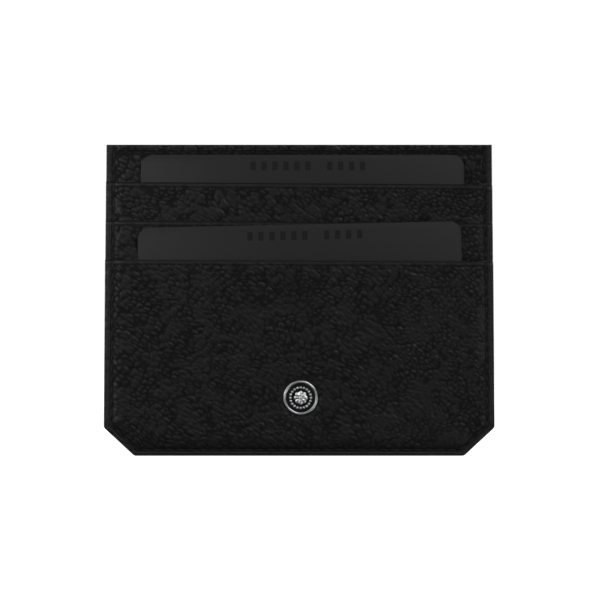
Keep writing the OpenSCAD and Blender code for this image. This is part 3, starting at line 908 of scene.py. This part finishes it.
class CARDHOLDER_OT_linings(bpy.types.Operator):
    """Builds the twill linings of the note compartment and of the pockets"""

    bl_idname = "cardholder.linings"
    bl_label = "Linings"

    def execute(self, context):
        sizes = in_mm(context.scene.holder_sizes)
        for which, side in SIDES.items():
            for part in ("lining", "upper_pocket_lining", "middle_pocket_lining"):
                node_name = f"{which}_{part}"
                low, high = box_mm(node_name)
                inner, outer = depths(node_name)
                if part == "lining":
                    # The compartment's lining follows the outline and lies on the panel
                    side_in, outer, leather = LINING_IN, inner + CLOTH_THICKNESS, "panel"
                else:
                    side_in, leather = straight_half(high[2]) - high[0], part[:-len("_lining")]
                edge = outline(side_in, min(side_in, LINING_FOOT_IN), LINING_CORNER)
                piece = layer(f"{node_name}_twill", side, low[2], high[2], inner, outer, edge,
                              material("fine_twill_lining"), sizes, columns=81, step=1.5,
                              round_mouth=False)
                settle(piece, "lining_twill", node_name)
        return {"FINISHED"}


class CARDHOLDER_OT_inner_layers(bpy.types.Operator):
    """Builds the boards, fillers, tapes and hidden rows of stitches between the layers"""

    bl_idname = "cardholder.inner_layers"
    bl_label = "Inner layers"

    def execute(self, context):
        sizes = in_mm(context.scene.holder_sizes)
        for which in SIDES:
            # Piece, finish, material slot, longest mesh edge and CAD layers
            for name, finish, slot, longest, parts in (
                ("board", "bonded_leather_board", "stiffening_board", 2.5, ("stiffener",)),
                ("rim_filler", "skived_leather", "skived_leather", 1.4, ("edge_filler",)),
                ("slot_tapes", "woven_bonding_tape", "bonding_tape", 1.4,
                 ("upper_slot_floor", "middle_slot_floor")),
                ("slot_floor_rows", "bonded_thread", "black_thread", 1.4,
                 ("slot_floor_stitching",)),
            ):
                nodes = [f"{which}_{part}" for part in parts]
                piece = pressed_copy(f"{which}_{name}", nodes, material(finish), sizes, longest)
                settle(piece, slot, *nodes)
        piece = pressed_copy("middle_seam_tape", ["seam_tape"], material("woven_bonding_tape"),
                             sizes)
        settle(piece, "bonding_tape", "seam_tape")
        return {"FINISHED"}


def rim_path(side_in, foot_in, radius, step):
    """The whole outline from the left top round the foot to the right top, evenly spaced."""
    right = outline(side_in, foot_in, radius)
    whole = np.concatenate([right[::-1] * [-1, 1], right[1:]])
    gaps = np.hypot(*np.diff(whole, axis=0).T)
    run = np.concatenate([[0], np.cumsum(gaps)])
    at = np.linspace(0, run[-1], int(round(run[-1] / step)) + 1)
    return np.stack([np.interp(at, run, whole[:, 0]), np.interp(at, run, whole[:, 1])], -1)


def face_depth(which, x, z, blend):
    """The depth of the outermost leather at a height, stepped at the mouths."""
    depth = depths(f"{which}_panel")[1]
    result = np.full(np.shape(z), depth)
    for part in POCKETS:
        outer = depths(f"{which}_{part}")[1]
        at = mouth(f"{which}_{part}") + MOUTH_TILT[part] * x
        result = result + (outer - depth) * smoothstep((at - z) / blend + 0.35)
        depth = outer
    return result


class CARDHOLDER_OT_edge_paint(bpy.types.Operator):
    """Builds the painted rim along the sides, the cut corners and the foot"""

    bl_idname = "cardholder.edge_paint"
    bl_label = "Edge paint"

    # The paint stands this much proud of the leather and rounds the edge with this radius
    proud, corner = 0.045, 0.45
    # The layers show through the paint as faint grooves: distance in, and share of the depth
    grooves = ((0.0, 0.74), (0.06, 0.7), (0.0, 0.66), (0.0, 0.44), (0.06, 0.4), (0.0, 0.36),
               (0.0, 0.1), (0.12, 0.02))

    def execute(self, context):
        sizes = in_mm(context.scene.holder_sizes)
        path = rim_path(0, 0, sizes.rim_radius, 0.4)
        ahead = np.gradient(path, axis=0)
        ahead /= np.linalg.norm(ahead, axis=1)[:, None]
        inward = np.stack([-ahead[:, 1], ahead[:, 0]], -1)
        cover, proud, corner = sizes.paint_cover, self.proud, self.corner
        # From the face round to the flat of the edge: distance in, and depth over the face
        half = [(cover, -0.12), (cover * 0.97, -0.01), (cover * 0.88, proud * 0.8),
                (cover * 0.7, proud), (corner, proud * 0.9)]
        half += [(corner * (1 - math.sin(a)), proud * 0.9 - corner * (1 - math.cos(a)))
                 for a in np.radians((18, 36, 54, 72, 88))]
        uneven = soft_noise(path[:, 0] + 60, path[:, 1], 6, 5) - 0.5
        rings = []
        for which, side in SIDES.items():
            rows = []
            for inset, over in half:
                place = path + inward * inset
                face = face_depth(which, *place.T, 0.7)
                depth = (pressed(place[:, 0], np.maximum(place[:, 1], 0), face, sizes) + over
                         + (0.03 * uneven if over > 0 else 0))
                rows.append((place, np.maximum(depth, 0.1)))
            flat = pressed(path[:, 0], path[:, 1], face_depth(which, *path.T, 0.7), sizes) - corner
            rows += [(path + inward * inset, flat * share) for inset, share in self.grooves]
            rings.append([at_depth(place, side, depth) for place, depth in rows])
        section = rings[0] + rings[1][::-1]
        piece = finish_mesh("rim_edge_paint", np.stack(section, 1).reshape(-1, 3),
                            shut(tube(len(path), len(section))),
                            material("satin_edge_paint"), sharp=60)
        settle(piece, "edge_paint", "edge_paint")
        return {"FINISHED"}


class CARDHOLDER_OT_stitching(bpy.types.Operator):
    """Builds the seams along the rim and along the mouths"""

    bl_idname = "cardholder.stitching"
    bl_label = "Stitching"

    # How deep the thread is bedded in the leather, and how far the side seams start below the top
    bedded, below_top = 0.03, 1.2

    def execute(self, context):
        sizes = in_mm(context.scene.holder_sizes)
        margin = sizes.stitch_pitch / 2
        for which, side in SIDES.items():
            whole = rim_path(sizes.side_seam, sizes.foot_seam, sizes.rim_radius, 0.35)
            face = face_depth(which, *whole.T, 0.05)
            depth = pressed(*whole.T, face, sizes) - sizes.groove_depth + self.bedded
            points = at_depth(whole, side, depth)
            # One run from mouth to mouth on either side, and a long one round the foot
            levels = [HEIGHT - self.below_top] + [mouth(f"{which}_{part}") for part in POCKETS]
            under = points[:, 2][None, :] < np.array(levels)[:, None] - margin + 0.2
            paths = []
            for n, low in enumerate(levels[1:]):
                for across in (-1, 1):
                    take = (under[n] & (points[:, 2] > low + margin - 0.4)
                            & (np.sign(points[:, 0]) == across))
                    paths.append(points[take])
            paths.append(points[under[-1]])
            stitched(f"{which}_rim_seam", side, paths, sizes, f"{which}_perimeter_stitching")
            reach = box_mm(f"{which}_mouth_stitching")[1][0] - margin
            row = np.linspace(-reach, reach, 200)
            row = np.stack([row, np.full_like(row, HEIGHT - sizes.mouth_seam)], -1)
            # The card slides past these, so the thread stays below the panel's face
            sunk = depths(f"{which}_panel")[1] - sizes.thread / 2 - self.bedded
            row = at_depth(row, side, pressed(*row.T, sunk, sizes))
            stitched(f"{which}_mouth_seam", side, [row], sizes, f"{which}_mouth_stitching")
        return {"FINISHED"}


class CARDHOLDER_OT_badge(bpy.types.Operator):
    """Builds the round badge: bezel, ground, ring of beads, rosette and backing plate"""

    bl_idname = "cardholder.badge"
    bl_label = "Badge"

    # Height of the bezel's crown, dishing and ripple of the ground, and half the plate's profile
    crown, dish, ripple = 0.16, 0.03, 0.014
    plate = ((0, -0.075), (3.2, -0.075), (3.45, -0.05), (3.5, 0.0))

    def execute(self, context):
        badge = in_mm(context.scene.badge_sizes)
        metal = material("plated_metal")
        top = box_mm("badge_bezel")[0][1]
        seat = box_mm("front_lower_pocket")[0][1] + 0.05
        ground, floor = BADGE[0][1], BADGE[1][1]
        outer, inner = BADGE_R, BADGE_R - badge.bezel
        profile = [(0, floor), (inner, floor), (inner, ground)]
        profile += [((outer + inner) / 2 - badge.bezel / 2 * math.cos(angle),
                     top + self.crown * (1 - math.sin(angle) ** 0.5))
                    for angle in np.linspace(0, math.pi, 9)]
        profile += [(outer, seat), (0, seat)]
        self.turn("badge_ring", profile, metal, "badge_metal", "badge_bezel")
        # The ground is slightly dished and, outside the rosette, turned with fine rings
        count, sunk = 46, 0.02
        rings = [(0, ground - sunk)]
        for step in range(1, count + 1):
            radius = (inner - sunk) * step / count
            wave = self.ripple * (-1) ** step if radius > 2.0 else 0.0
            rings.append((radius, ground - sunk - self.dish * (radius / inner) ** 2 + wave))
        rings += [(inner - sunk, floor - 0.01), (0, floor - 0.01)]
        self.turn("badge_dark_ground", rings, material("darkened_metal_ground"), "badge_ground",
                  "badge_ground")
        low, high = box_mm("badge_bead_ring")
        tall = high[1] - low[1]
        guide = put("bead_guide", bpy.data.meshes.new("bead_guide"))
        beads = run_tree(bead_ring, guide, "badge_beads", {
            "Beads": int(badge.beads), "Ring radius": ((high[0] - low[0]) / 2 - 1.5 * tall) * MM,
            "Bead radius": 1.4 * tall * MM, "X": BADGE_X * MM, "Y": (high[1] - 0.03) * MM,
            "Z": BADGE_Z * MM, "Material": metal})
        settle(beads, "badge_metal", "badge_bead_ring")
        self.rosette(int(badge.petals), metal)
        low, high = box_mm("badge_backing_plate")
        middle = (low[1] + high[1]) / 2
        plate = list(self.plate) + [(radius, -y) for radius, y in self.plate[-2::-1]]
        self.turn("badge_clench_plate", [(radius, middle + y) for radius, y in plate], metal,
                  "badge_metal", "badge_backing_plate", steps=48)
        return {"FINISHED"}

    def turn(self, name, profile, finish, slot, node_name, steps=96):
        """A solid turned round the badge's axis from (radius, y) points that end on the axis."""
        angles = np.linspace(0, 2 * math.pi, steps, endpoint=False)
        verts, rings, faces = [], [], []
        for radius, y in profile:
            on_axis = radius < 1e-6
            rings.append([len(verts) + (0 if on_axis else k) for k in range(steps)])
            verts += [(BADGE_X + radius * math.cos(a), y, BADGE_Z + radius * math.sin(a))
                      for a in (angles[:1] if on_axis else angles)]
        for low, high in zip(rings, rings[1:]):
            for k in range(steps):
                after = (k + 1) % steps
                # A face beside the axis loses its double corner
                faces.append(list(dict.fromkeys((low[k], low[after], high[after], high[k]))))
        settle(finish_mesh(name, verts, faces, finish, sharp=30), slot, node_name)

    def rosette(self, petals, metal):
        """A domed flower with a button in its middle, cast in one with its foot."""
        low, high = box_mm("badge_rosette")
        reach, base, peak = (high[0] - low[0]) / 2, high[1] + 0.02, low[1]
        around, out = petals * 14, 16
        angles = np.linspace(0, 2 * math.pi, around, endpoint=False)
        lobe = np.abs(np.cos(angles * petals / 2))
        verts = [(BADGE_X, peak, BADGE_Z)]
        for share in np.arange(1, out + 1) / out:
            radius = share * reach * (0.78 + 0.22 * lobe ** 0.6)
            petal = (1 - share ** 3) * (0.55 + 0.4 * lobe) * smoothstep((share - 0.26) / 0.14)
            button = math.sqrt(max(1 - (share / 0.3) ** 2, 0))
            height = np.maximum(petal, button) * (base - peak)
            height = np.maximum(height, 0.12 * (base - peak) * (share < 1))
            verts += [(BADGE_X + r * math.cos(a), base - h, BADGE_Z + r * math.sin(a))
                      for r, a, h in zip(radius, angles, height)]
        verts.append((BADGE_X, base + 0.05, BADGE_Z))
        rings = tube(out, around, 1)
        faces = strips(rings.T) + fan(0, rings[0]) + fan(len(verts) - 1, rings[-1])
        settle(finish_mesh("badge_rosette_flower", verts, faces, metal, sharp=50),
               "badge_metal", "badge_rosette")


class CARDHOLDER_OT_cards(bpy.types.Operator):
    """Builds the two dummy cards with their plain printed blocks"""

    bl_idname = "cardholder.cards"
    bl_label = "Dummy cards"

    # A card's size in the card standard, and how far its edges are broken
    width, height, corner, bevel = 85.6, 53.98, 3.18, 0.1
    # The printed blocks: places in the row, the one left empty, the row's middle and its
    # distance from the card's top, a block's width and height, and the pitch
    places, empty, across, down, wide, tall, pitch = 11, 6, 1.4, 1.75, 1.4, 2.3, 2.9
    # How far a block stands proud of the card, and how deep it reaches into it
    raised, sunk = 0.012, 0.05

    def execute(self, context):
        slides = {joint["child"]: Vector(joint["axis"]) for joint in frame["joints"]}
        for name in ("upper_card", "lower_card"):
            low, high = box_mm(name)
            lean = math.atan2(-slides[name].x, slides[name].z)
            place = (Matrix.Translation(Vector((low + high) / 2))
                     @ Matrix.Rotation(-lean, 4, "Y"))
            thick = high[1] - low[1]
            settle(self.plate(name, place, thick), "card_plastic", name, body=name)
            settle(self.print_blocks(name, place, thick), "card_plastic", body=name)
        return {"FINISHED"}

    def plate(self, name, place, thick):
        """A card with rounded corners and slightly broken edges."""
        half, bevel, around, verts = thick / 2, self.bevel, 13, []
        broken = ((bevel, half), (bevel * 0.3, half - bevel * 0.3), (0, half - bevel))
        sections = [(inset, -depth) for inset, depth in broken] + list(broken[::-1])
        for inset, depth in sections:
            for turn, (sx, sz) in enumerate(((1, 1), (-1, 1), (-1, -1), (1, -1))):
                for angle in math.pi / 2 * (turn + np.linspace(0, 1, around)):
                    round_off = self.corner - inset
                    verts.append(place @ Vector((
                        sx * (self.width / 2 - self.corner) + round_off * math.cos(angle), depth,
                        sz * (self.height / 2 - self.corner) + round_off * math.sin(angle))))
        return finish_mesh(f"{name}_plate", [list(v) for v in verts],
                           shut(tube(len(sections), 4 * around)), material("printed_card"),
                           sharp=35)

    def print_blocks(self, name, place, thick):
        """Two groups of plain blocks where a card carries its wording."""
        verts, faces = [], []
        top = self.height / 2 - self.down
        for column in range(self.places):
            if column == self.empty:
                continue
            x = self.across + (column - self.places // 2) * self.pitch
            start = len(verts)
            for y in (-thick / 2 - self.raised, -thick / 2 + self.sunk):
                verts += [list(place @ Vector((x + self.wide / 2 * sx, y, top - down)))
                          for sx, down in ((-1, 0), (1, 0), (1, self.tall), (-1, self.tall))]
            faces += [[start + k for k in quad] for quad in (
                (0, 1, 2, 3), (7, 6, 5, 4), (0, 4, 5, 1), (1, 5, 6, 2), (2, 6, 7, 3),
                (3, 7, 4, 0))]
        return finish_mesh(f"{name}_print", verts, faces, material("card_ink"), smooth=False)


# ---- Stage, lights and camera ----

class CARDHOLDER_OT_stage(bpy.types.Operator):
    """Sets up the pale studio floor, the soft lights and the camera"""

    bl_idname = "cardholder.stage"
    bl_label = "Studio stage"

    # Millimetres across the picture, the lens, and how far the camera stands to the right
    span, focal, aside = 158.95, 200.0, 0.23
    # Strength of the even light that the room itself gives
    room_light = 0.03
    # Name, azimuth from the front, elevation, distance and size in metres, and power
    lights = (
        ("front_softbox", 7, 11, 1.0, 0.3, 0.16),
        ("key_softbox", 26, 30, 0.9, 0.2, 1.1),
        ("raking_softbox", 40, 48, 0.9, 0.3, 1.1),
        ("left_softbox", -34, 25, 0.9, 0.24, 0.4),
        ("left_strip", -46, 4, 0.3, 0.09, 0.11),
        ("left_side_softbox", -82, -4, 0.9, 0.4, 1.5),
        ("left_spot", -56, 25, 0.12, 0.03, 0.01),
        ("right_strip", 50, -26, 0.3, 0.1, 0.1),
        ("right_softbox", 100, 16, 0.9, 0.5, 4.0),
        ("top_softbox", 178, 78, 0.9, 0.5, 2.0),
        ("rear_left_softbox", 236, 8, 0.9, 0.45, 4.0),
        ("rear_right_softbox", 130, 26, 0.9, 0.45, 3.0),
    )

    def execute(self, context):
        scene = context.scene
        scene.view_settings.view_transform = "Standard"
        self.floor()
        world = bpy.data.worlds.new("studio_room")
        world.use_nodes = True
        background = world.node_tree.nodes["Background"]
        background.inputs["Color"].default_value = (1, 1, 1, 1)
        background.inputs["Strength"].default_value = self.room_light
        scene.world = world
        middle = Vector((0, 0, HEIGHT / 2)) * MM
        for name, azimuth, elevation, distance, size, power in self.lights:
            a, e = math.radians(azimuth), math.radians(elevation)
            away = Vector((math.sin(a) * math.cos(e), -math.cos(a) * math.cos(e), math.sin(e)))
            light = bpy.data.lights.new(name, "AREA")
            light.shape, light.size, light.energy = "SQUARE", size, power
            lamp = put(name, light)
            lamp.location = middle + away * distance
            lamp.visible_camera = False
            lamp.rotation_mode = "QUATERNION"
            lamp.rotation_quaternion = away.to_track_quat("Z", "Y")
        camera = bpy.data.cameras.new("camera")
        camera.lens, camera.sensor_width = self.focal, 36.0
        camera.clip_start, camera.clip_end = 0.05, 20
        # The span is that of the plane between the rim and the lower card
        plane_y = (box_mm("front_lining")[1][1] + box_mm("lower_card")[0][1]) / 2
        reach = self.span * camera.lens / camera.sensor_width
        seat = put("camera", camera)
        seat.location = Vector((self.aside, plane_y - reach, HEIGHT / 2)) * MM
        seat.rotation_euler = (math.pi / 2, 0, 0)
        scene.camera = seat
        return {"FINISHED"}

    def floor(self):
        """A round sheet of paper, flat under the holder and swept up all round it."""
        # Metres: the flat part's radius, the bend's radius and the wall's height
        flat, bend, wall, steps = 1.4, 0.9, 2.6, 64
        profile = [(0.4, 0.0), (0.9, 0.0), (flat, 0.0)]
        profile += [(flat + bend * math.sin(a), bend * (1 - math.cos(a)))
                    for a in math.pi / 2 * np.arange(1, 13) / 12]
        profile.append((flat + bend, wall))
        verts = [(0, 0, 0)] + [
            (radius * math.cos(a), radius * math.sin(a), z)
            for radius, z in profile for a in 2 * math.pi * np.arange(steps) / steps]
        rings = tube(len(profile), steps, 1)
        mesh = bpy.data.meshes.new("studio_floor")
        mesh.from_pydata(verts, [], fan(0, rings[0]) + strips(rings.T))
        mesh.polygons.foreach_set("use_smooth", [True] * len(mesh.polygons))
        mesh.materials.append(material("studio_paper"))
        paper = put("studio_floor", mesh)
        # The paper is only seen, so that it doesn't wash out the dark leather
        paper.visible_diffuse = False
        paper.visible_glossy = False
        paper.visible_shadow = False


class CARDHOLDER_PT_panel(bpy.types.Panel):
    """Lists the steps that build the card holder"""

    bl_label = "Card Holder"
    bl_idname = "CARDHOLDER_PT_panel"
    bl_space_type = "VIEW_3D"
    bl_region_type = "UI"
    bl_category = "Card Holder"

    def draw(self, context):
        for group in (context.scene.holder_sizes, context.scene.badge_sizes,
                      context.scene.holder_colours):
            box = self.layout.box()
            for key in group.__annotations__:
                box.prop(group, key)
        for step in STEPS:
            self.layout.operator(step.bl_idname)


STEPS = (CARDHOLDER_OT_stage, CARDHOLDER_OT_leather, CARDHOLDER_OT_linings,
         CARDHOLDER_OT_inner_layers, CARDHOLDER_OT_edge_paint, CARDHOLDER_OT_stitching,
         CARDHOLDER_OT_badge, CARDHOLDER_OT_cards)
GROUPS = {"holder_sizes": HolderSizes, "badge_sizes": BadgeSizes, "holder_colours": HolderColours}


def register():
    """Registers the property groups, the operators and the panel."""
    for group in GROUPS.values():
        bpy.utils.register_class(group)
    for key, group in GROUPS.items():
        setattr(bpy.types.Scene, key, PointerProperty(type=group))
    for step in STEPS + (CARDHOLDER_PT_panel,):
        bpy.utils.register_class(step)


def unregister():
    """Takes everything out again, in the opposite order."""
    for step in reversed(STEPS + (CARDHOLDER_PT_panel,)):
        bpy.utils.unregister_class(step)
    for key, group in GROUPS.items():
        delattr(bpy.types.Scene, key)
        bpy.utils.unregister_class(group)


def main():
    """Builds the whole card holder."""
    register()
    for step in STEPS:
        group, action = step.bl_idname.split(".")
        getattr(getattr(bpy.ops, group), action)()


if __name__ == "__main__":
    main()
